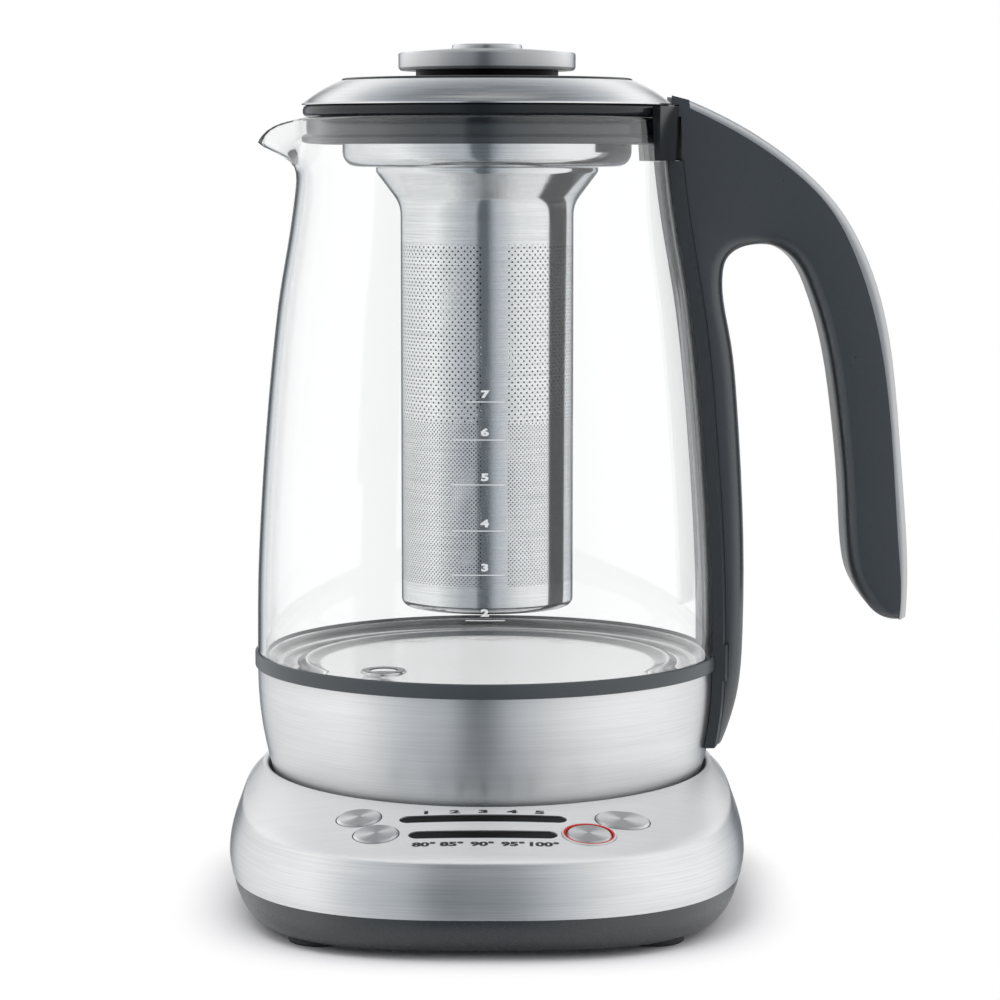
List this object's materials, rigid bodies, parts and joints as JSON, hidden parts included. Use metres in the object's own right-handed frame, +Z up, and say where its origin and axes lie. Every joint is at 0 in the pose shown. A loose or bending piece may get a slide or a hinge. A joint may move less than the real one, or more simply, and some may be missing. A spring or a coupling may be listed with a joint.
{
  "type": "automatic tea maker",
  "caption": "Electric tea maker: glass jug with spout, handle, steel lid and lift-out tea basket on a powered base with brew time and temperature buttons.",
  "frame": {"origin": "on the jug's axis, at the surface the base stands on", "axes": "+Z up, front with the control panel towards -Y, spout towards -X, handle towards +X"},
  "size_m": [0.1989, 0.1811, 0.2488],
  "materials": {
    "aluminium": "plain",
    "black_rubber": "matt",
    "black_window": "gloss",
    "brushed_steel": "brushed",
    "circuit_board": "matt",
    "clear_glass": "clear",
    "clear_pipe": "clear",
    "contact_brass": "bright",
    "dark_plastic": "gloss",
    "grey_plastic": "matt",
    "grey_silicone": "matt",
    "lead_insulation": "matt",
    "polished_steel": "polished",
    "red_ring": "gloss",
    "satin_trim": "satin",
    "screw_steel": "bright",
    "sheath_steel": "dull",
    "slate_plastic": "satin"
  },
  "bodies": {
    "root": {"base_cover": "brushed_steel", "base_pan": "slate_plastic", "base_feet": "black_rubber", "base_screws": "screw_steel", "cradle": "slate_plastic", "socket_housing": "dark_plastic", "socket_ring": "contact_brass", "socket_pin": "contact_brass", "panel_carrier": "grey_plastic", "control_board": "circuit_board", "tact_switches": "grey_plastic", "time_lamps": "clear_pipe", "temp_lamps": "clear_pipe", "time_bar": "black_window", "temp_bar": "black_window", "start_ring": "red_ring", "beeper": "grey_plastic", "power_board": "circuit_board", "board_screws": "screw_steel", "relay": "grey_plastic", "supply_block": "grey_plastic", "capacitor": "aluminium", "mains_gland": "slate_plastic", "base_wiring": "lead_insulation"},
    "time_button": {"time_button": "polished_steel"},
    "temp_button": {"temp_button": "polished_steel"},
    "timer_button": {"timer_button": "polished_steel"},
    "start_button": {"start_button": "polished_steel"},
    "jug_plug": {"jug_plug": "dark_plastic", "plug_contacts": "contact_brass"},
    "jug": {"glass_jug": "clear_glass", "glass_gasket": "grey_silicone", "foot_ring": "dark_plastic", "floor_plate": "polished_steel", "sensor_seal": "grey_silicone", "temp_sensor": "polished_steel", "heat_plate": "aluminium", "heating_element": "sheath_steel", "thermal_cutout": "grey_plastic", "skirt": "brushed_steel", "under_cover": "slate_plastic", "cover_screws": "screw_steel", "heater_legs": "sheath_steel", "jug_leads": "lead_insulation", "handle_body": "slate_plastic", "handle_back": "slate_plastic", "neck_bracket": "slate_plastic", "handle_trim": "satin_trim"},
    "lid": {"lid_ring": "brushed_steel", "lid_body": "dark_plastic", "lid_seal": "grey_silicone"},
    "basket": {"basket_collar": "polished_steel", "basket_tube": "polished_steel", "basket_base": "polished_steel"},
    "basket_lid": {"basket_lid_plate": "slate_plastic", "knob_stem": "slate_plastic", "knob_cap": "brushed_steel", "knob_centre": "polished_steel", "knob_screw": "screw_steel"}
  },
  "joints": [
    {"name": "time_press", "type": "slide", "parent": "root", "child": "time_button", "axis": [0.0795, 0.1746, -0.9814], "range_m": [0, 0.0006], "stiffness_N_per_m": 1500},
    {"name": "temp_press", "type": "slide", "parent": "root", "child": "temp_button", "axis": [0.0555, 0.1826, -0.9816], "range_m": [0, 0.0006], "stiffness_N_per_m": 1500},
    {"name": "timer_press", "type": "slide", "parent": "root", "child": "timer_button", "axis": [-0.0852, 0.1728, -0.9813], "range_m": [0, 0.0006], "stiffness_N_per_m": 1500},
    {"name": "start_press", "type": "slide", "parent": "root", "child": "start_button", "axis": [-0.0506, 0.1844, -0.9815], "range_m": [0, 0.0006], "stiffness_N_per_m": 1500},
    {"name": "jug_lift", "type": "slide", "parent": "root", "child": "jug_plug", "axis": [0, 0, 1], "range_m": [0, 0.12]},
    {"name": "jug_swivel", "type": "hinge", "parent": "jug_plug", "child": "jug", "pos_m": [0, 0, 0.03], "axis": [0, 0, 1], "continuous": true},
    {"name": "lid_lift", "type": "slide", "parent": "jug", "child": "lid", "axis": [0, 0, 1], "range_m": [0, 0.16]},
    {"name": "basket_lift", "type": "slide", "parent": "lid", "child": "basket", "axis": [0, 0, 1], "range_m": [0, 0.16]},
    {"name": "basket_lid_lift", "type": "slide", "parent": "basket", "child": "basket_lid", "axis": [0, 0, 1], "range_m": [0, 0.04]}
  ]
}
